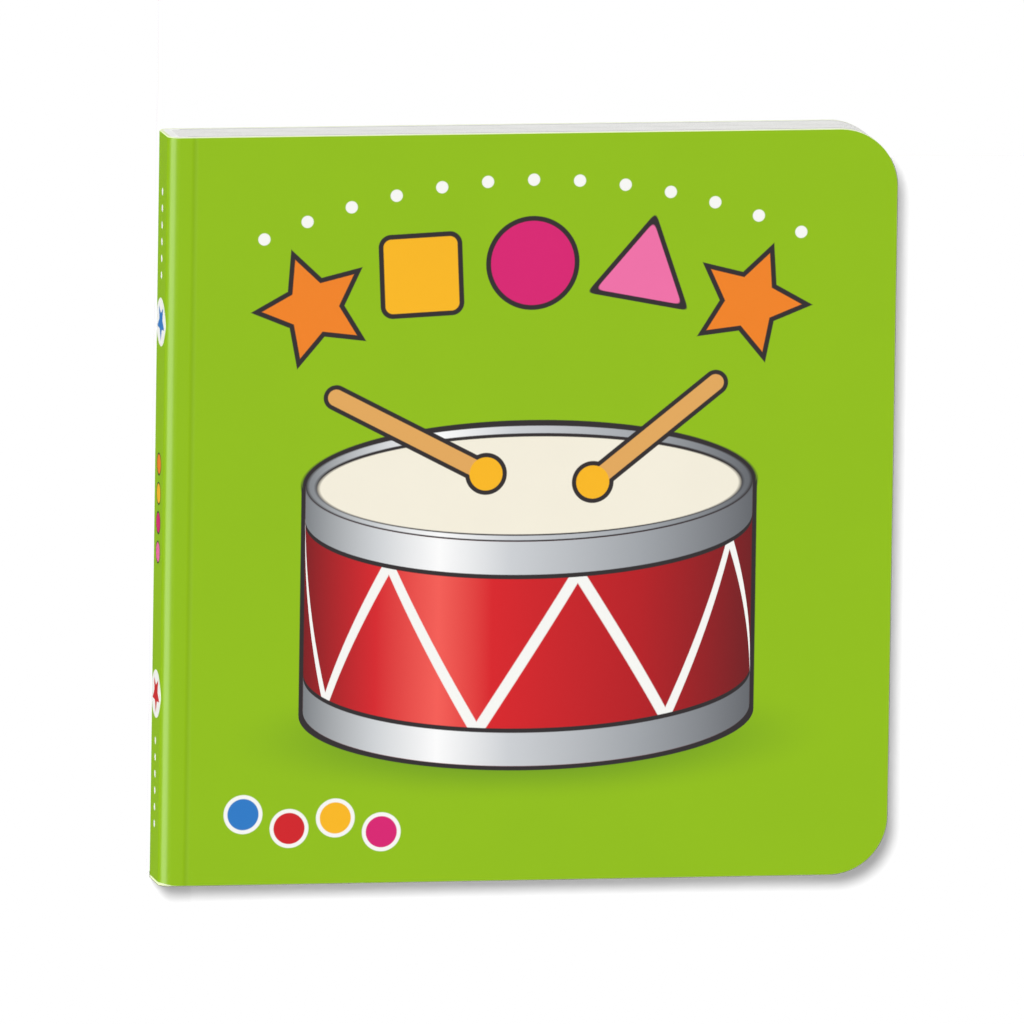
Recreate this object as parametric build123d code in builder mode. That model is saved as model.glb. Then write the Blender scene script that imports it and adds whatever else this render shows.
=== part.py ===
from build123d import *

import os

# A square board book, closed and lying on its back cover.
# +X runs from the spine to the fore-edge, +Y from the tail to the head, +Z from the back cover to the front.
# The origin is on the table, under the middle of the book.
# One laminated card wraps round the leaves and is scored beside the spine, front and back. A cover swings on
# each score, so the card is three pieces that meet there.

# Trimmed size of the whole book
book_width = 150.0
book_height = 153.0
corner_radius = 12.0
trim_radius = 0.2

# Wrap-round cover card
cover_thickness = 1.8
fold_radius = 2.4
hinge_margin = 5.4
score_width = 1.2
score_depth = 0.15

# Board leaves, glued face to face beside the spine
leaf_count = 6
leaf_thickness = 1.6
leaf_gap = 0.14
leaf_gap_depth = 0.5

# How far a cut runs past the card
overrun = 2.0

# Places that follow from the sizes
block_thickness = leaf_count * leaf_thickness
block_bottom = cover_thickness
block_top = block_bottom + block_thickness
book_thickness = block_top + cover_thickness
spine_x = -book_width / 2
fore_edge_x = book_width / 2
block_x = spine_x + cover_thickness
hinge_x = spine_x + hinge_margin
middle_plane = Plane.XY.offset(book_thickness / 2)

# The scoring rule has a round nose that leaves a groove of the given width and depth
rule_radius = (score_width**2 / 4 + score_depth**2) / (2 * score_depth)
rule_lift = book_thickness / 2 + rule_radius - score_depth


def trimmed_outline(left_x, inset=0):
    """Outline of a leaf or cover from left_x to the fore-edge, with the two fore-edge corners rounded."""
    right_x = fore_edge_x - inset
    with BuildSketch() as outline:
        with Locations(((left_x + right_x) / 2, 0)):
            Rectangle(right_x - left_x, book_height - 2 * inset)
        fillet(outline.vertices().group_by(Axis.X)[-1], corner_radius - inset)
    return outline.sketch


def trimmed_edges(slab):
    """Edges of a slab's two flat faces that the trimming knife left, which are all but those beside the spine."""
    return slab.faces().filter_by(Axis.Z).edges().sort_by(Axis.X)[2:]


# Rods along both hinges, with the shape of the scoring rule
with BuildPart() as scoring_rules:
    with BuildSketch(Plane.XZ.offset(-book_height / 2 - overrun)):
        with Locations((hinge_x, book_thickness / 2 + rule_lift), (hinge_x, book_thickness / 2 - rule_lift)):
            Circle(rule_radius)
    extrude(amount=book_height + 2 * overrun)

# Front cover, from its score to the fore-edge
with BuildPart() as front_cover:
    with BuildSketch(Plane.XY.offset(block_top)):
        add(trimmed_outline(hinge_x))
    extrude(amount=cover_thickness)
    fillet(trimmed_edges(front_cover), trim_radius)
    add(scoring_rules.part, mode=Mode.SUBTRACT)

# Back cover, the same card under the leaves
with BuildPart() as back_cover:
    mirror(front_cover.part, about=middle_plane)

# Spine, folded round the back of the leaves and glued to the first and last leaf up to each score
with BuildPart() as spine:
    with BuildSketch(Plane.XZ.offset(-book_height / 2)) as wrap_section:
        with Locations((spine_x + hinge_margin / 2, book_thickness / 2)):
            Rectangle(hinge_margin, book_thickness)
        fillet(wrap_section.vertices().group_by(Axis.X)[0], fold_radius)
    extrude(amount=book_height)
    fillet(spine.faces().filter_by(Axis.Y).edges().sort_by(Axis.X)[:-2], trim_radius)
    with BuildSketch(Plane.YZ.offset(block_x)):
        with Locations((0, book_thickness / 2)):
            Rectangle(book_height + 2 * overrun, block_thickness)
    extrude(amount=hinge_margin, mode=Mode.SUBTRACT)
    add(scoring_rules.part, mode=Mode.SUBTRACT)

# Leaves as one glued block, with the gaps between them open along the head, fore-edge and tail
with BuildPart() as page_block:
    with BuildSketch(Plane.XY.offset(block_bottom)):
        add(trimmed_outline(block_x))
    extrude(amount=block_thickness)
    fillet(trimmed_edges(page_block), trim_radius)
    with BuildSketch(*[Plane.XY.offset(block_bottom + leaf * leaf_thickness) for leaf in range(1, leaf_count)]):
        add(trimmed_outline(block_x))
        add(trimmed_outline(block_x, leaf_gap_depth), mode=Mode.SUBTRACT)
    extrude(amount=leaf_gap / 2, both=True, mode=Mode.SUBTRACT)

os.makedirs("parts", exist_ok=True)

front_cover.part.label = "front_cover"
export_step(front_cover.part, "parts/front_cover.step")

back_cover.part.label = "back_cover"
export_step(back_cover.part, "parts/back_cover.step")

spine.part.label = "spine"
export_step(spine.part, "parts/spine.step")

page_block.part.label = "page_block"
export_step(page_block.part, "parts/page_block.step")
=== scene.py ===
import bpy
import math
import random
from mathutils import Matrix, Vector


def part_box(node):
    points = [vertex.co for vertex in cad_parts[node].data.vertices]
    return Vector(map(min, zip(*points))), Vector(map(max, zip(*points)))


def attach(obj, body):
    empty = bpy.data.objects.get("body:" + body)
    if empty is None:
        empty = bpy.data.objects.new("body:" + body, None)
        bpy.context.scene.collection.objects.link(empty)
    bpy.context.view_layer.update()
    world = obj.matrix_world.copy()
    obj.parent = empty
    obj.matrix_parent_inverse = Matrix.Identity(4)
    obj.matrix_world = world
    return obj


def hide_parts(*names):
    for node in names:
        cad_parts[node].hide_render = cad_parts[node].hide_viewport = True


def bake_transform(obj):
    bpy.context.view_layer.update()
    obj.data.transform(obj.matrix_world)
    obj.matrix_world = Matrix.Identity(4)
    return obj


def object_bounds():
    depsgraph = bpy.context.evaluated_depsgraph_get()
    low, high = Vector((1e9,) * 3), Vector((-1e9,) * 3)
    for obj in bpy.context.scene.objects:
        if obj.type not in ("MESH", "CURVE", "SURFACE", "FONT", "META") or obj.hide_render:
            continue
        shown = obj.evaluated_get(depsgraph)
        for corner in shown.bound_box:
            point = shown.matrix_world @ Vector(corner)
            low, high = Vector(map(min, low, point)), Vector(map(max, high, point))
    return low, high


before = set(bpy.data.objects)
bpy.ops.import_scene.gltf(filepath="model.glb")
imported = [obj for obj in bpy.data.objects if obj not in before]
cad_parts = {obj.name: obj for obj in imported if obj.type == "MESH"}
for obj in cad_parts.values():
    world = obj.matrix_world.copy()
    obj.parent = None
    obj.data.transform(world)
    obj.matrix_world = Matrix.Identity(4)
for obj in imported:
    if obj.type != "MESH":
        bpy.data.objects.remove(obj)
cadLow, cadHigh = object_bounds()
bpy.context.scene.view_settings.view_transform = "Standard"

# places read from the frame, in metres
frontLow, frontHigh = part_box("front_cover")
backLow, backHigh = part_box("back_cover")
spineLow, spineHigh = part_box("spine")
blockLow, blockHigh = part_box("page_block")
hingeX = frontLow.x
cardThick = frontHigh.z - frontLow.z
bookThick = spineHigh.z
near = 1e-5  # places closer than this are the same place
mm = 1000  # millimetres in a metre, since prints are drawn in millimetres

# how far a face's normal leans along an axis: on a flat side, half-way between two sides, on a soft edge
flatLean, edgeLean, trimLean = 0.9, 0.5, 0.2

# the trimmed card of the covers, in metres
card = {
    "corner": 0.012,  # radius of the fore-edge corners
    "cornerSteps": 24,
    "trim": 0.0002,  # soft edge from the trimming knife
    "trimSteps": 3,
    "fold": 0.0024,  # outer radius of the two folds at the spine
    "foldSteps": 12,
    "creaseHalf": 0.0012,  # the bending strip reaches this far each side of the hinge
    "creaseSteps": 20,
    "scoreHalf": 0.0008,  # half width of the pressed line
    "scoreDepth": 0.00006,
    "worn": 0.0007,  # the print is rubbed off this far from the tail of the spine, less towards the hinge
    "smoothAngle": 40,  # degrees
}

# the board leaves, in metres
leaves = {
    "count": 6,
    "gapHalf": 0.00011,
    "gapDepth": 0.00042,
    "unevenness": 0.35,  # share by which the gaps differ
    "glued": 0.0006,  # the gaps close this near to the spine
    "seed": 11,
}


def addBox(name, low, high):
    bpy.ops.object.select_all(action="DESELECT")
    bpy.ops.mesh.primitive_cube_add(size=1, location=(low + high) / 2)
    box = bpy.context.object
    box.name = box.data.name = name
    box.scale = high - low
    bpy.ops.object.transform_apply(location=True, rotation=True, scale=True)
    return box


def pick(piece, kind, test):
    # selects the vertices, edges or faces whose points pass the test, and stays in edit mode
    bpy.ops.object.mode_set(mode="EDIT")
    bpy.ops.mesh.select_mode(type=kind)
    bpy.ops.mesh.select_all(action="DESELECT")
    bpy.ops.object.mode_set(mode="OBJECT")
    mesh = piece.data
    spots = [v.co for v in mesh.vertices]
    if kind == "VERT":
        for vertex in mesh.vertices:
            vertex.select = test([vertex.co])
    else:
        for item in mesh.edges if kind == "EDGE" else mesh.polygons:
            item.select = test([spots[i] for i in item.vertices])
    bpy.ops.object.mode_set(mode="EDIT")


def at(points, axis, place):
    return all(abs(p[axis] - place) < near for p in points)


def cutAcross(piece, spot, way):
    # adds a ring of edges where a plane crosses the piece
    pick(piece, "FACE", lambda p: True)
    bpy.ops.mesh.bisect(plane_co=spot, plane_no=way)
    bpy.ops.object.mode_set(mode="OBJECT")


def softenTrim(piece, test):
    pick(piece, "EDGE", test)
    bpy.ops.mesh.bevel(offset=card["trim"], segments=card["trimSteps"], affect="EDGES")
    bpy.ops.object.mode_set(mode="OBJECT")


def smooth(piece, weighted=True):
    bpy.ops.object.select_all(action="DESELECT")
    bpy.context.view_layer.objects.active = piece
    piece.select_set(True)
    bpy.ops.object.shade_smooth_by_angle(angle=math.radians(card["smoothAngle"]))
    if weighted:  # keeps the broad faces flat beside their soft edges
        bend = piece.modifiers.new("flat faces", "WEIGHTED_NORMAL")
        bend.keep_sharp = True
        bpy.ops.object.modifier_apply(modifier=bend.name)


def paint(piece, materials, rule):
    for material in materials:
        piece.data.materials.append(material)
    for face in piece.data.polygons:
        face.material_index = rule(face)


def roundCorners(piece, foreEdge):
    pick(piece, "EDGE", lambda p: at(p, 0, foreEdge) and abs(p[0].z - p[1].z) > near)
    bpy.ops.mesh.bevel(offset=card["corner"], segments=card["cornerSteps"], affect="EDGES")
    bpy.ops.object.mode_set(mode="OBJECT")


class Flow:
    # a shader socket, so that maths on it reads as a plain expression
    def __init__(self, tree, socket=None):
        self.tree = tree
        self.socket = socket

    def node(self, kind, settings, sockets, outlet=0):
        made = self.tree.nodes.new("ShaderNode" + kind)
        for key, value in settings.items():
            if key == "stops":
                ramp = made.color_ramp.elements
                while len(ramp) < len(value):
                    ramp.new(0)
                for stop, (place, colour) in zip(ramp, value):
                    stop.position, stop.color = place, colour
            else:
                setattr(made, key, value)
        for key, value in sockets.items():
            if isinstance(value, Flow):
                self.tree.links.new(value.socket, made.inputs[key])
            else:
                made.inputs[key].default_value = value
        return Flow(self.tree, made.outputs[outlet] if made.outputs else None)

    def maths(self, operation, *values):
        return self.node("Math", {"operation": operation}, dict(enumerate(values)))

    def vectors(self, operation, *values, outlet=0):
        return self.node("VectorMath", {"operation": operation}, dict(enumerate(values)), outlet)

    def __add__(self, other):
        return self.maths("ADD", self, other)

    def __radd__(self, other):
        return self.maths("ADD", other, self)

    def __sub__(self, other):
        return self.maths("SUBTRACT", self, other)

    def __rsub__(self, other):
        return self.maths("SUBTRACT", other, self)

    def __mul__(self, other):
        return self.maths("MULTIPLY", self, other)

    def __rmul__(self, other):
        return self.maths("MULTIPLY", other, self)

    def __truediv__(self, other):
        return self.maths("DIVIDE", self, other)

    def __pow__(self, other):
        return self.maths("POWER", self, other)

    def __abs__(self):
        return self.maths("ABSOLUTE", self)


def ink(red, green, blue):
    # a colour in screen values, 0 to 255, as the linear colour that shaders take
    def linear(value):
        share = value / 255
        return share / 12.92 if share <= 0.04045 else ((share + 0.055) / 1.055) ** 2.4

    return (linear(red), linear(green), linear(blue), 1)


inks = {
    "green": ink(143, 189, 8),
    "deepGreen": ink(96, 140, 20),
    "white": ink(250, 250, 246),
    "dark": ink(34, 28, 30),
    "red": ink(206, 26, 34),
    "orange": ink(240, 130, 32),
    "amber": ink(250, 184, 28),
    "magenta": ink(214, 28, 112),
    "pink": ink(240, 112, 168),
    "blue": ink(40, 120, 196),
    "cream": ink(246, 240, 222),
    "wood": ink(226, 168, 92),
}


def newMaterial(name):
    material = bpy.data.materials.new(name)
    material.use_nodes = True
    material.node_tree.nodes.clear()
    return material, Flow(material.node_tree)


def finishMaterial(start, sockets):
    surface = start.node("BsdfPrincipled", {}, sockets)
    start.node("OutputMaterial", {}, {"Surface": surface})


def millimetres(start):
    spot = start.node("TexCoord", {}, {}, outlet=3)
    return spot.vectors("MULTIPLY", spot, (mm, mm, mm))


def part(vector, axis):
    return vector.node("SeparateXYZ", {}, {0: vector}, outlet="XYZ".index(axis))


def over(below, colour, mask):
    return mask.node("Mix", {"data_type": "RGBA"}, {0: mask, 6: below, 7: colour}, outlet=2)


def inside(distance, blur=0.1):
    # 1 inside an outline and 0 outside it, from the signed distance to it
    return distance.node("MapRange", {}, {"Value": distance, "From Min": blur, "From Max": -blur})


def disc(p, centre, radius):
    return p.vectors("DISTANCE", p, (*centre, 0), outlet=1) - radius


def turned(p, centre, angle):
    return p.node(
        "VectorRotate",
        {"rotation_type": "Z_AXIS"},
        {"Vector": p, "Center": (*centre, 0), "Angle": math.radians(angle)},
    )


def roundBox(p, centre, half, radius, angle=0):
    spun = turned(p, centre, angle) if angle else p
    offset = p.vectors("ABSOLUTE", p.vectors("SUBTRACT", spun, (*centre, 0)))
    offset = p.vectors("SUBTRACT", offset, (half[0] - radius, half[1] - radius, 0))
    offset = p.vectors("MAXIMUM", offset, (0, 0, 0))
    return p.vectors("LENGTH", offset, outlet=1) - radius


def triangle(p, centre, inner, blunt, angle=0):
    offset = p.vectors("SUBTRACT", p, (*centre, 0))
    sides = []
    for turn in (-90, 30, 150):  # the ways that the sides face
        way = math.radians(turn + angle)
        sides.append(p.vectors("DOT_PRODUCT", offset, (math.cos(way), math.sin(way), 0), outlet=1))
    pair = p.maths("SMOOTH_MAX", sides[0], sides[1], blunt)
    return p.maths("SMOOTH_MAX", pair, sides[2], blunt) - inner


def polar(p, centre):
    # distance from the centre, and the angle to the right of straight up
    offset = p.vectors("SUBTRACT", p, (*centre, 0))
    reach = p.vectors("LENGTH", offset, outlet=1)
    return reach, p.maths("ARCTAN2", part(offset, "X"), part(offset, "Y"))


def repeated(value, step, shift=100):
    # distance to the nearest whole step, with the count shifted so that it is above 0 everywhere
    return value.maths("PINGPONG", value + shift * step, step / 2)


def star(p, centre, tip, inner, angle=0):
    half = math.pi / 5
    reach, way = polar(p, centre)
    way = repeated(way + math.radians(angle), 2 * half, shift=10)
    run, rise = inner * math.cos(half) - tip, inner * math.sin(half)
    length = math.hypot(run, rise)
    along = reach * reach.maths("COSINE", way) - tip
    return (along * rise - reach * reach.maths("SINE", way) * run) / length


def stroke(p, start, end, radius):
    # a straight bar with round ends
    run = Vector(end) - Vector(start)
    offset = p.vectors("SUBTRACT", p, (*start, 0))
    share = p.vectors("DOT_PRODUCT", offset, (*run, 0), outlet=1) / run.length_squared
    share = share.node("Clamp", {}, {"Value": share})
    nearest = p.node("VectorMath", {"operation": "SCALE"}, {0: (*run, 0), 3: share})
    return p.vectors("DISTANCE", offset, nearest, outlet=1) - radius


# printed toy shapes on an arch over the drum, in millimetres on the cover: outline, place along the arch in
# degrees, ink
arch = {
    "centre": (0, -72),
    "radius": 122,
    "outline": 1.0,
    "star": (10.6, 5.2),  # reach of the tips and of the notches
    "block": 7.6,
    "blockCorner": 1.6,
    "blockTilt": 8,
    "triangle": 5.2,
    "triangleBlunt": 2.0,
    "ball": 8.6,
    "dotRadius": 139,
    "dotStep": 3.9,
    "dotReach": 24,
    "dot": 1.25,
    "shapes": [
        ("star", -21.6, "orange"),
        ("block", -10.8, "amber"),
        ("ball", 0, "magenta"),
        ("triangle", 10.8, "pink"),
        ("star", 21.6, "orange"),
    ],
}


def onArch(angle, radius):
    way = math.radians(angle)
    return (arch["centre"][0] + radius * math.sin(way), arch["centre"][1] + radius * math.cos(way))


def toyShape(p, kind, centre, angle, grow):
    if kind == "star":
        return star(p, centre, *arch["star"], -angle) - grow
    if kind == "block":
        half = arch["block"] + grow
        return roundBox(p, centre, (half, half), arch["blockCorner"] + grow, angle + arch["blockTilt"])
    if kind == "triangle":
        return triangle(p, centre, arch["triangle"] + grow, arch["triangleBlunt"], -angle)
    return disc(p, centre, arch["ball"] + grow)


def printArch(p, sheet):
    for kind, angle, colour in arch["shapes"]:
        centre = onArch(angle, arch["radius"])
        sheet = over(sheet, inks["dark"], inside(toyShape(p, kind, centre, angle, arch["outline"])))
        sheet = over(sheet, inks[colour], inside(toyShape(p, kind, centre, angle, 0)))
    # a line of small white dots over the shapes
    reach, way = polar(p, arch["centre"])
    aside = repeated(way, math.radians(arch["dotStep"]), shift=40) * arch["dotRadius"]
    gap = (aside ** 2 + (reach - arch["dotRadius"]) ** 2) ** 0.5 - arch["dot"]
    ends = reach.maths("LESS_THAN", abs(way), math.radians(arch["dotReach"]))
    return over(sheet, inks["white"], inside(gap) * ends)


# printed toy drum, in millimetres on the cover
drum = {
    "top": 5,
    "bottom": -41,
    "half": 46,
    "depth": 12,
    "hoop": 6.8,
    "outline": 0.9,
    "lace": 0.9,
    "laces": 7,
    "laceStart": 20.5,  # in swings, so that the count is above 0 everywhere
    "laceSlant": 0.42,  # distance across a lace as a share of the distance up or down
    "sticks": [((-9, 7), (-40, 23)), ((13, 5), (38, 25))],
    "stick": 1.7,
    "knob": 3.4,
    # the shade under the drum, whose width, depth and inner fade are shares of the drum's
    "shadeDrop": 6,
    "shadeWidth": 1.32,
    "shadeDepth": 1.05,
    "shadeFade": 0.75,
    "shadeSpill": 0.8,  # millimetres that the fade reaches beyond its oval
    "shadeStrength": 0.85,
    # rings of the skin, set in the upper hoop: tone, drop, inset across, inset along
    "rings": [("dark", 0, 0, 0), ("steel", 0, 0.4, 0.3), ("dark", 0.3, 2.0, 1.5), ("cream", 0.5, 2.6, 2.0)],
    # printed tones of the shell and the hoops, from the left side to the right
    "shell": [
        (0.0, ink(120, 8, 16)), (0.16, ink(212, 30, 38)), (0.3, ink(244, 92, 84)),
        (0.42, ink(214, 26, 34)), (0.75, ink(178, 14, 24)), (1.0, ink(104, 6, 14)),
    ],
    "steel": [
        (0.0, ink(122, 126, 130)), (0.16, ink(208, 211, 214)), (0.3, ink(255, 255, 255)),
        (0.46, ink(206, 209, 213)), (0.75, ink(160, 164, 169)), (1.0, ink(96, 99, 104)),
    ],
}


def printDrum(p, sheet):
    x, y = part(p, "X"), part(p, "Y")
    half, depth, line = drum["half"], drum["depth"], drum["outline"]

    def lift(width):  # height of the round edge in front of its middle
        share = x.maths("MAXIMUM", 1 - (x / width) ** 2, 0)
        return share ** 0.5 * depth

    def band(low, high, width):  # between two heights on the side of the drum
        fall = lift(width)
        tall = x.maths("MAXIMUM", (low - fall) - y, y - (high - fall))
        return inside(x.maths("MAXIMUM", tall, abs(x) - width))

    def oval(centre, width, height):
        share = ((x / width) ** 2 + ((y - centre) / height) ** 2) ** 0.5
        return (share - 1) * height

    top, bottom, hoop = drum["top"], drum["bottom"], drum["hoop"]
    ground = oval(bottom - drum["shadeDrop"], half * drum["shadeWidth"], depth * drum["shadeDepth"])
    shade = ground.node("MapRange", {"interpolation_type": "SMOOTHSTEP"}, {
        "Value": ground, "From Min": drum["shadeSpill"], "From Max": -depth * drum["shadeFade"],
        "To Max": drum["shadeStrength"]})
    sheet = over(sheet, inks["deepGreen"], shade)
    sheet = over(sheet, inks["dark"], band(bottom - line, top + line, half + line))
    sheet = over(sheet, inks["dark"], inside(oval(top, half + line, depth + line)))
    # the shell, the laces and the hoops
    across = (x / half + 1) / 2
    shell = across.node("ValToRGB", {"stops": drum["shell"]}, {"Fac": across})
    steel = across.node("ValToRGB", {"stops": drum["steel"]}, {"Fac": across})
    sheet = over(sheet, shell, band(bottom, top, half))
    way = x.maths("ARCSINE", x.node("Clamp", {}, {"Value": x / half, "Min": -1.0, "Max": 1.0}))
    swing = x.maths("PINGPONG", way * (drum["laces"] / math.pi) + drum["laceStart"], 1)
    laceLow, laceHigh = bottom + hoop, top - hoop
    rise = abs(y + lift(half) - (laceLow + swing * (laceHigh - laceLow)))
    lace = inside(rise * drum["laceSlant"] - drum["lace"])
    sheet = over(sheet, inks["white"], lace * band(laceLow, laceHigh, half))
    sheet = over(sheet, inks["dark"], band(top - hoop - line, top, half))
    sheet = over(sheet, inks["dark"], band(bottom, bottom + hoop + line, half))
    sheet = over(sheet, steel, band(bottom, bottom + hoop, half))
    sheet = over(sheet, steel, band(top - hoop, top, half))
    for tone, drop, inset, inwards in drum["rings"]:
        colour = steel if tone == "steel" else inks[tone]
        sheet = over(sheet, colour, inside(oval(top - drop, half - inset, depth - inwards)))
    for knob, grip in drum["sticks"]:
        sheet = over(sheet, inks["dark"], inside(stroke(p, knob, grip, drum["stick"] + line)))
        sheet = over(sheet, inks["dark"], inside(disc(p, knob, drum["knob"] + line)))
        sheet = over(sheet, inks["wood"], inside(stroke(p, knob, grip, drum["stick"])))
        sheet = over(sheet, inks["amber"], inside(disc(p, knob, drum["knob"])))
    return sheet


# printed beads near the tail, in millimetres on the cover: place and ink
beads = {
    "radius": 3.2,
    "rim": 0.8,
    "places": [
        ((-58, -62), "blue"),
        ((-48.5, -65), "red"),
        ((-39, -63), "amber"),
        ((-29.5, -66), "magenta"),
    ],
}


def printBeads(p, sheet):
    for centre, colour in beads["places"]:
        sheet = over(sheet, inks["white"], inside(disc(p, centre, beads["radius"] + beads["rim"])))
        sheet = over(sheet, inks[colour], inside(disc(p, centre, beads["radius"])))
    return sheet


def coverPrint(p):
    flat = p.vectors("MULTIPLY", p, (1, 1, 0))
    return printBeads(flat, printArch(flat, printDrum(flat, inks["green"])))


# printed marks on the spine, in millimetres: distance from the middle of the book and ink
spineMarks = {
    "disc": 4.9,
    "discs": [(38, "blue"), (-38, "red")],
    "star": (3.9, 1.8),
    "starTurn": 90,
    "dots": [(9, "orange"), (3, "amber"), (-3, "magenta"), (-9, "pink")],
    "dot": 2.0,
    "dotRim": 0.35,
    "smallStep": 3.4,
    "smallDots": [(46, 66.3), (-66.3, -46)],
    "smallDot": 0.75,
}


def spinePrint(p):
    flat = p.node("CombineXYZ", {}, {"X": part(p, "Y"), "Y": part(p, "Z") - bookThick * mm / 2})
    sheet = inks["green"]
    for place, colour in spineMarks["discs"]:
        sheet = over(sheet, inks["white"], inside(disc(flat, (place, 0), spineMarks["disc"])))
        mark = star(flat, (place, 0), *spineMarks["star"], spineMarks["starTurn"])
        sheet = over(sheet, inks[colour], inside(mark))
    rim = spineMarks["dot"] + spineMarks["dotRim"]
    for place, colour in spineMarks["dots"]:
        sheet = over(sheet, inks["dark"], inside(disc(flat, (place, 0), rim)))
        sheet = over(sheet, inks[colour], inside(disc(flat, (place, 0), spineMarks["dot"])))
    along, across = part(flat, "X"), part(flat, "Y")
    aside = repeated(along, spineMarks["smallStep"])
    dots = inside((aside ** 2 + across ** 2) ** 0.5 - spineMarks["smallDot"])
    for low, high in spineMarks["smallDots"]:
        span = along.maths("GREATER_THAN", along, low) * along.maths("LESS_THAN", along, high)
        sheet = over(sheet, inks["white"], dots * span)
    return sheet


# finish of the laminated print, which is rubbed to a gloss on the two folds at the spine, with painted shade
# along the scored line
laminate = {
    "roughness": 0.36,
    "spread": 0.06,
    "specular": 0.25,
    "mottle": 0.02,
    "bump": 0.04,
    # painted shade along the scored line at the hinge, at its darkest
    "scoreShade": 0.1,
    "cloud": {"Scale": 0.05, "Detail": 4.0, "Roughness": 0.6},
    "cloudRange": (0.35, 0.7),
    "grain": {"Scale": 2.2, "Detail": 3.0},
    "bumpDepth": 0.0001,
    "rubbed": (0.9, 1.9),  # millimetres from the middle of a fold to where the gloss starts to fade and ends
    "rubbedRoughness": 0.3,
    "rubbedIor": 1.6,
}


def rubbedShare(p):
    # 1 on the middle of the folds at the spine and 0 on the flat card beside them
    half = bookThick * mm / 2
    aside = abs(part(p, "X") - spineLow.x * mm - (half - abs(part(p, "Z") - half)))
    full, end = laminate["rubbed"]
    return aside.node("MapRange", {"interpolation_type": "SMOOTHSTEP"}, {
        "Value": aside, "From Min": end, "From Max": full})


def makeLaminate(name, art=None, gloss=None):
    material, start = newMaterial(name)
    p = millimetres(start)
    sheet = art(p) if art else inks["green"]
    cloud = p.node("TexNoise", {}, {"Vector": p, **laminate["cloud"]})
    low, high = laminate["cloudRange"]
    uneven = cloud.node("MapRange", {}, {
        "Value": cloud, "From Min": low, "From Max": high, "To Max": laminate["mottle"]})
    if not art:  # painted shade darkens the print along the scored line a little
        aside = abs(part(p, "X") - hingeX * mm)
        uneven = uneven + aside.node("MapRange", {"interpolation_type": "SMOOTHSTEP"}, {
            "Value": aside, "From Max": card["scoreHalf"] * mm,
            "To Min": laminate["scoreShade"], "To Max": 0.0})
    # the random mottle and, on the plain card, the painted shade along the score darken the print
    colour = over(sheet, inks["dark"], uneven)
    grain = p.node("TexNoise", {}, {"Vector": p, **laminate["grain"]})
    rough = (grain - 0.5) * laminate["spread"] * 2 + laminate["roughness"]
    bump = grain.node("Bump", {}, {
        "Strength": laminate["bump"], "Distance": laminate["bumpDepth"], "Height": grain})
    sockets = {
        "Base Color": colour,
        "Roughness": rough,
        "Specular IOR Level": laminate["specular"],
        "Normal": bump,
    }
    if gloss:
        sockets["Coat Weight"] = gloss(p)
        sockets["Coat Roughness"] = laminate["rubbedRoughness"]
        sockets["Coat IOR"] = laminate["rubbedIor"]
    finishMaterial(start, sockets)
    return material


# cut edges: pressed plies of white board, and on the cover card the tinted edge of the printed sheet round it
boardEdge = {
    "board": (ink(248, 248, 246), ink(240, 240, 238)),
    "sheet": (ink(238, 247, 206), ink(226, 238, 182)),
    "sheetThick": 0.75,  # millimetres
    "gap": (ink(154, 153, 150), ink(140, 139, 136)),  # painted shade deep in the gaps between the leaves and on the soft edges beside them
    "plyPitch": 0.3,  # millimetres
    "plyRun": 16.0,
    "plies": {"Scale": 1.0, "Detail": 3.0, "Roughness": 0.65},
    "plyShare": 0.55,
    "fibre": {"Scale": 3.5, "Detail": 5.0, "Roughness": 0.7},
    "fibreShare": 0.45,
    "toneRange": (0.34, 0.56),
    "roughness": 0.82,
    "specular": 0.25,
    "bump": 0.15,
    "bumpDepth": 0.00008,
}


def sheetShare(p):
    # 1 within the printed sheet, which follows the outside of the closed book round the spine
    flat = p.node("CombineXYZ", {}, {"X": part(p, "X"), "Y": part(p, "Z")})
    half = (spineHigh.y * 2 * mm, bookThick * mm / 2)  # long enough to end beyond the fore-edge
    depth = roundBox(flat, (spineLow.x * mm + half[0], half[1]), half, card["fold"] * mm)
    return inside(-boardEdge["sheetThick"] - depth)


def makeBoardEdge(name, tones, sheet=None):
    material, start = newMaterial(name)
    p = millimetres(start)
    run, pitch = 1 / boardEdge["plyRun"], 1 / boardEdge["plyPitch"]
    stretched = p.vectors("MULTIPLY", p, (run, run, pitch))
    plies = p.node("TexNoise", {}, {"Vector": stretched, **boardEdge["plies"]})
    fibre = p.node("TexNoise", {}, {"Vector": p, **boardEdge["fibre"]})
    tone = plies * boardEdge["plyShare"] + fibre * boardEdge["fibreShare"]
    low, high = boardEdge["toneRange"]

    def shade(light, dark):
        return tone.node("ValToRGB", {"stops": [(low, dark), (high, light)]}, {"Fac": tone})

    colour = over(shade(*tones), shade(*sheet), sheetShare(p)) if sheet else shade(*tones)
    bump = tone.node("Bump", {}, {
        "Strength": boardEdge["bump"], "Distance": boardEdge["bumpDepth"], "Height": tone})
    finishMaterial(start, {
        "Base Color": colour,
        "Roughness": boardEdge["roughness"],
        "Specular IOR Level": boardEdge["specular"],
        "Normal": bump,
    })
    return material


# bare white faces inside the book
pageFace = {
    "light": ink(245, 245, 242),
    "dark": ink(242, 242, 238),
    "cloud": {"Scale": 0.08, "Detail": 6.0, "Roughness": 0.65},
    "toneRange": (0.35, 0.62),
    "tooth": {"Scale": 4.0, "Detail": 3.0},
    "roughness": 0.5,
    "specular": 0.3,
    "bump": 0.06,
    "bumpDepth": 0.0001,
}


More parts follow.
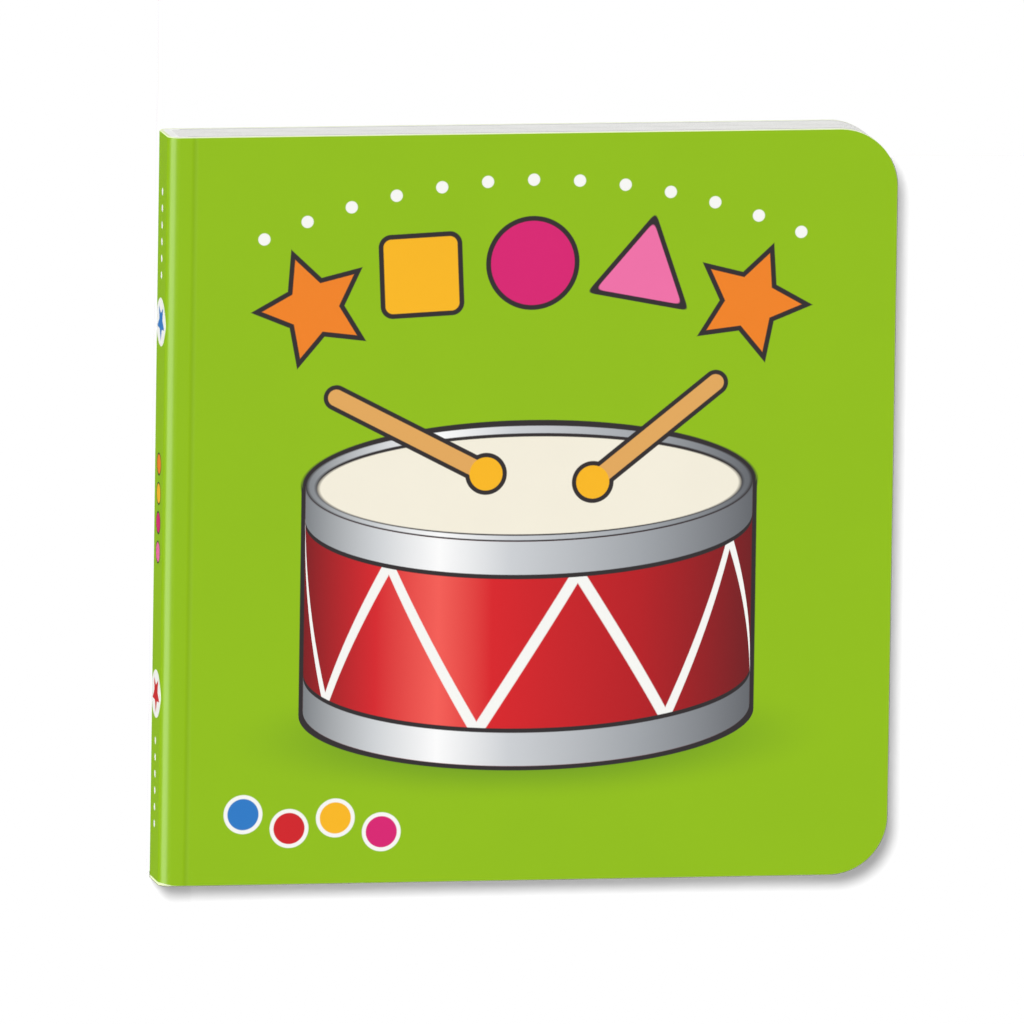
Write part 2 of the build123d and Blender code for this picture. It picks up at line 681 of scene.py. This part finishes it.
def makePageFace(name):
    material, start = newMaterial(name)
    p = millimetres(start)
    cloud = p.node("TexNoise", {}, {"Vector": p, **pageFace["cloud"]})
    low, high = pageFace["toneRange"]
    stops = [(low, pageFace["dark"]), (high, pageFace["light"])]
    colour = cloud.node("ValToRGB", {"stops": stops}, {"Fac": cloud})
    tooth = p.node("TexNoise", {}, {"Vector": p, **pageFace["tooth"]})
    bump = tooth.node("Bump", {}, {
        "Strength": pageFace["bump"], "Distance": pageFace["bumpDepth"], "Height": tooth})
    finishMaterial(start, {
        "Base Color": colour,
        "Roughness": pageFace["roughness"],
        "Specular IOR Level": pageFace["specular"],
        "Normal": bump,
    })
    return material


coverInk = makeLaminate("printed laminate, cover", coverPrint)
spineInk = makeLaminate("printed laminate, spine", spinePrint, rubbedShare)
plainInk = makeLaminate("printed laminate, plain, with painted shade on the score")
cardEdge = makeBoardEdge("cut edge of the cover card", boardEdge["board"], boardEdge["sheet"])
leafEdge = makeBoardEdge("cut edges of the leaves", boardEdge["board"])
# painted shade for the gaps between the leaves and the soft edges next to them
paintedLeafShade = makeBoardEdge("painted shade in the leaf gaps and on soft inner edges", boardEdge["gap"])
whiteFace = makePageFace("bare page face")
print("materials made")


def cardRule(outward):
    # slot 0 is the printed side, 1 the cut edge, 2 the bare inner side and 3 its soft edge to the leaves, in
    # painted shade
    def rule(face):
        lean = face.normal.z * outward
        if abs(lean) > flatLean:
            return 0 if lean > 0 else 2
        return 3 if lean < -trimLean else 1

    return rule


# where the faces of a printed board lie on its bake map: the print fills most of it, two strips hold the rest
bakeMap = {
    "edge": 0.005,
    "printTop": 0.972,
    "inner": (0.93, 0.99),
    "trim": (0.98, 0.997),
    "sideShare": 0.32,
    "sideFill": 0.97,  # of its share, so that the sides stay apart
}


def mapPrint(board, low, high, outward):
    places = board.data.uv_layers.new(name="OFBake").data
    span = high - low
    scale = (bakeMap["printTop"] - bakeMap["edge"]) / span.y
    for face in board.data.polygons:
        lean = face.normal.z * outward
        for corner in face.loop_indices:
            spot = board.data.vertices[board.data.loops[corner].vertex_index].co - low
            u, v = bakeMap["edge"] + spot.x * scale, bakeMap["edge"] + spot.y * scale
            if lean < -edgeLean:
                u = bakeMap["inner"][0] + (bakeMap["inner"][1] - bakeMap["inner"][0]) * spot.x / span.x
            elif lean < edgeLean:
                ahead = abs(face.normal.x) > abs(face.normal.y)
                side = 0 if ahead else 1 if face.normal.y > 0 else 2
                along = spot.y / span.y if ahead else spot.x / span.x
                u = bakeMap["edge"] + bakeMap["sideShare"] * (side + along * bakeMap["sideFill"])
                v = bakeMap["trim"][0] + (bakeMap["trim"][1] - bakeMap["trim"][0]) * spot.z / span.z
            places[corner].uv = (u, v)


def makeBoard(name, low, high, outward, printed, body):
    start = low + Vector((card["creaseHalf"], 0, 0))
    board = addBox(name, start, high)
    roundCorners(board, high.x)
    softenTrim(board, lambda p: abs(p[0].z - p[1].z) < near and not at(p, 0, start.x))
    smooth(board)
    paint(board, [printed, cardEdge, whiteFace, paintedLeafShade], cardRule(outward))
    mapPrint(board, start, high, outward)
    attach(board, body)
    return board


def makeCrease(name, low, high, outward):
    half = card["creaseHalf"]
    strip = addBox(name, Vector((hingeX - half, low.y, low.z)), Vector((hingeX + half, high.y, high.z)))
    softenTrim(strip, lambda p: abs(p[0].x - p[1].x) > near)
    for end in (low.y + 2 * card["trim"], high.y - 2 * card["trim"]):  # the run between stays flat
        cutAcross(strip, (0, end, 0), (0, 1, 0))
    pick(strip, "EDGE", lambda p: abs(p[0].x - p[1].x) > near)
    bpy.ops.mesh.subdivide(number_cuts=card["creaseSteps"] - 1)
    # the line pressed into the printed side
    outer = high.z if outward > 0 else low.z
    pick(strip, "VERT", lambda p: abs(p[0].x - hingeX) < near and abs(p[0].z - outer) < card["trim"] + near)
    bpy.ops.transform.translate(
        value=(0, 0, -outward * card["scoreDepth"]), use_proportional_edit=True,
        proportional_edit_falloff="SMOOTH", proportional_size=card["scoreHalf"])
    bpy.ops.object.mode_set(mode="OBJECT")
    smooth(strip, weighted=False)
    paint(strip, [plainInk, cardEdge, whiteFace, paintedLeafShade], cardRule(outward))
    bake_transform(strip)
    return strip


frontBoard = makeBoard("front_board", frontLow, frontHigh, 1, coverInk, "front")
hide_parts("front_cover")
backBoard = makeBoard("back_board", backLow, backHigh, -1, plainInk, "back")
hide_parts("back_cover")
frontCrease = makeCrease("front_crease", frontLow, frontHigh, 1)
backCrease = makeCrease("back_crease", backLow, backHigh, -1)
print("covers made")


def makeSpine():
    flangeEnd = hingeX - card["creaseHalf"]
    bpy.ops.object.select_all(action="DESELECT")
    middle = (spineLow.x, 0, bookThick / 2)
    bpy.ops.mesh.primitive_plane_add(size=1, location=middle, rotation=(0, -math.pi / 2, 0))
    wrap = bpy.context.object
    wrap.name = wrap.data.name = "spine_wrap"
    wrap.scale = (bookThick, spineHigh.y - spineLow.y, 1)
    bpy.ops.object.transform_apply(location=True, rotation=True, scale=True)
    for level in (spineLow.z, spineHigh.z):  # the glued strips on the first and last leaf
        pick(wrap, "EDGE", lambda p: at(p, 2, level))
        bpy.ops.mesh.extrude_edges_move(TRANSFORM_OT_translate={"value": (flangeEnd - spineLow.x, 0, 0)})
    pick(wrap, "EDGE", lambda p: at(p, 0, spineLow.x) and abs(p[0].z - p[1].z) < near)
    bpy.ops.mesh.bevel(offset=card["fold"], segments=card["foldSteps"], affect="EDGES")
    bpy.ops.object.mode_set(mode="OBJECT")
    sheetPoints = len(wrap.data.vertices)
    thicken = wrap.modifiers.new("card", "SOLIDIFY")
    thicken.thickness = cardThick
    thicken.offset = -1
    thicken.use_even_offset = True
    bpy.ops.object.modifier_apply(modifier=thicken.name)
    outer = {tuple(v.co) for v in wrap.data.vertices[:sheetPoints]}
    softenTrim(wrap, lambda p: abs(p[0].y - p[1].y) < near and all(tuple(v) in outer for v in p))
    wornEnd = Vector((spineLow.x, spineLow.y + card["worn"], 0))
    wornWay = Vector((card["worn"] / (flangeEnd - spineLow.x), 1, 0))
    cutAcross(wrap, wornEnd, wornWay)
    smooth(wrap)

    def rule(face):
        if abs(face.normal.y) > edgeLean or (face.center - wornEnd).dot(wornWay) < 0:
            return 1
        low, high = spineLow.z + cardThick - near, spineHigh.z - cardThick + near
        hidden = face.center.x > spineLow.x + cardThick - near and low < face.center.z < high
        return 2 if hidden else 0

    paint(wrap, [spineInk, cardEdge, whiteFace], rule)
    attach(wrap, "block")
    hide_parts("spine")
    return wrap


spineWrap = makeSpine()
print("spine made")


def makePages():
    pages = addBox("page_leaves", blockLow, blockHigh)
    roundCorners(pages, blockHigh.x)
    softenTrim(pages, lambda p: abs(p[0].z - p[1].z) < near and not at(p, 0, blockLow.x))
    cutAcross(pages, blockLow + Vector((leaves["glued"], 0, 0)), (1, 0, 0))
    chance = random.Random(leaves["seed"])
    pitch = (blockHigh.z - blockLow.z) / leaves["count"]
    for leaf in range(1, leaves["count"]):
        level = blockLow.z + leaf * pitch
        uneven = 1 + leaves["unevenness"] * chance.uniform(-1, 1)
        for height in (level - leaves["gapHalf"] * uneven, level, level + leaves["gapHalf"] * uneven):
            cutAcross(pages, (0, 0, height), (0, 0, 1))
        pick(pages, "VERT", lambda p: abs(p[0].z - level) < near and p[0].x > blockLow.x + near)
        bpy.ops.transform.shrink_fatten(value=-leaves["gapDepth"] * uneven, use_even_offset=True)
        bpy.ops.object.mode_set(mode="OBJECT")
    smooth(pages)

    # slot 2 is painted shade, on the faces of the gaps and on the soft top and bottom edges
    def rule(face):
        lean = abs(face.normal.z)
        if blockLow.z + card["trim"] < face.center.z < blockHigh.z - card["trim"]:
            return 2 if lean > flatLean else 0
        glued = face.center.x < blockLow.x + leaves["glued"]
        if lean > flatLean:
            return 1
        return 2 if lean > trimLean and not glued else 0

    paint(pages, [leafEdge, whiteFace, paintedLeafShade], rule)
    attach(pages, "block")
    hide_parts("page_block")
    return pages


pageLeaves = makePages()
print("leaves made")

# the studio: a floor that only shows the shadow, a key from the upper left, fills without a shadow from above
# and, like the light that a white table throws back, from below on each side, and a softbox for the fold
studio = {
    "floorSize": 3.0,
    "floorTone": 0.12,
    "floorRoughness": 0.9,
    "brink": 0.0035,  # from this far inside the hinge the floor falls away, so that the back cover can open
    # lengths and slopes of the fall, and how much wider it gets: beside the spine it reaches beyond the head,
    # so that the whole spine mirrors it, and under the spine it is left out
    "falls": [(0.009, 13.0, 1.06), (0.015, 13.0, 1.0), (3.0, 6.2, 1.0)],
    "endGap": 0.008,  # no shadow falls beyond the head, so the floor ends this far inside it
    "ambient": 0.13,
    "keyWay": (-0.318, 0.342, 1.0),
    "keyAngle": 13.0,
    "keyPower": 2.38,
    "fills": [  # way to the lamp, power
        ((0, 0, 1), 0.5),
        ((-1, 0, -0.5), 2.5),
        ((0, 1, -0.5), 1.64),
        ((1, 0, -0.5), 1.3),
        ((0, -1, -0.5), 1.3),
    ],
    "fillAngle": 30,
    "boxWay": (-0.89, -0.15, 0.42),
    "boxDistance": 0.8,
    "boxSize": (0.8, 0.75),
    "boxPower": 2.5,
}


def addLamp(name, kind, way, distance=1.0):
    lamp = bpy.data.objects.new(name, bpy.data.lights.new(name, kind))
    bpy.context.scene.collection.objects.link(lamp)
    back = Vector(way).normalized()
    lamp.location = Vector((0, 0, bookThick)) + back * distance
    lamp.rotation_euler = back.to_track_quat("Z", "Y").to_euler()
    return lamp


def makeFloor():
    size = studio["floorSize"]
    brink = hingeX + studio["brink"]
    bpy.ops.object.select_all(action="DESELECT")
    head = spineHigh.y - studio["endGap"]
    bpy.ops.mesh.primitive_plane_add(size=size, location=(brink + size / 2, head - size / 2, cadLow.z))
    floor = bpy.context.object
    floor.name = "floor"
    bpy.ops.object.transform_apply(location=True, rotation=True, scale=True)
    pick(floor, "EDGE", lambda p: at(p, 0, brink))
    for length, slope, wider in studio["falls"]:
        lean = math.radians(slope)
        step = (-length * math.cos(lean), 0, -length * math.sin(lean))
        bpy.ops.mesh.extrude_edges_move(TRANSFORM_OT_translate={"value": step})
        bpy.ops.transform.resize(value=(1, wider, 1))
    bpy.ops.object.mode_set(mode="OBJECT")
    # the opening under the spine ends on a slant at the tail, so that the shadow tapers there
    corner = Vector((spineLow.x, spineLow.y, 0))
    slant = Vector((-studio["endGap"], brink - spineLow.x, 0)).normalized()
    cutAcross(floor, corner, slant)
    pick(floor, "FACE", lambda p: all(
        spineLow.x < q.x < brink + near and (q - corner).dot(slant) > -near for q in p))
    bpy.ops.mesh.delete(type="FACE")
    bpy.ops.object.mode_set(mode="OBJECT")
    floor.is_shadow_catcher = True
    floor.visible_shadow = False
    material, start = newMaterial("floor")
    tone = studio["floorTone"]
    finishMaterial(start, {
        "Base Color": (tone, tone, tone, 1),
        "Roughness": studio["floorRoughness"],
        "Specular IOR Level": 0.0,
    })
    floor.data.materials.append(material)


def makeStudio():
    world = bpy.data.worlds.new("white studio")
    bpy.context.scene.world = world
    world.use_nodes = True
    world.node_tree.nodes.clear()
    start = Flow(world.node_tree)
    seen = [start.node("LightPath", {}, {}, f"Is {ray} Ray") for ray in ("Camera", "Glossy", "Transmission")]
    shown = seen[0].maths("MAXIMUM", seen[0].maths("MAXIMUM", seen[0], seen[1]), seen[2])
    strength = shown * (1 - studio["ambient"]) + studio["ambient"]
    glow = start.node("Background", {}, {"Color": (1, 1, 1, 1), "Strength": strength})
    start.node("OutputWorld", {}, {"Surface": glow})
    makeFloor()
    key = addLamp("key", "SUN", studio["keyWay"])
    key.data.energy = studio["keyPower"]
    key.data.angle = math.radians(studio["keyAngle"])
    for way, power in studio["fills"]:
        fill = addLamp("fill", "SUN", way)
        fill.data.energy = power
        fill.data.angle = math.radians(studio["fillAngle"])
        fill.data.use_shadow = False
        fill.visible_glossy = False
    box = addLamp("softbox", "AREA", studio["boxWay"], studio["boxDistance"])
    box.data.shape = "RECTANGLE"
    box.data.size, box.data.size_y = studio["boxSize"]
    box.data.energy = studio["boxPower"]
    box.visible_diffuse = False


makeStudio()

# the camera looks down on the book from a little beyond its head and spine
shot = {
    "lens": 1200,
    "sensor": 36,
    "reach": 100,
    "azimuth": -129.97,
    "elevation": 75.8,
    "roll": 0.85,
    "distance": 6.9143,
    "target": (-0.000976, -0.003034, 0),
}


def makeCamera():
    camera = bpy.data.objects.new("camera", bpy.data.cameras.new("camera"))
    bpy.context.scene.collection.objects.link(camera)
    camera.data.lens = shot["lens"]
    camera.data.sensor_width = shot["sensor"]
    camera.data.clip_end = shot["reach"]
    turn, rise, roll = (math.radians(shot[key]) for key in ("azimuth", "elevation", "roll"))
    back = Vector((math.sin(turn) * math.cos(rise), -math.cos(turn) * math.cos(rise), math.sin(rise)))
    across = Vector((0, 1, 0)).cross(back).normalized()
    across = across * math.cos(roll) + back.cross(across) * math.sin(roll)
    place = Matrix((across, back.cross(across), back)).transposed().to_4x4()
    place.translation = Vector(shot["target"]) + back * shot["distance"]
    camera.matrix_world = place
    bpy.context.scene.camera = camera


makeCamera()
print("studio and camera made")
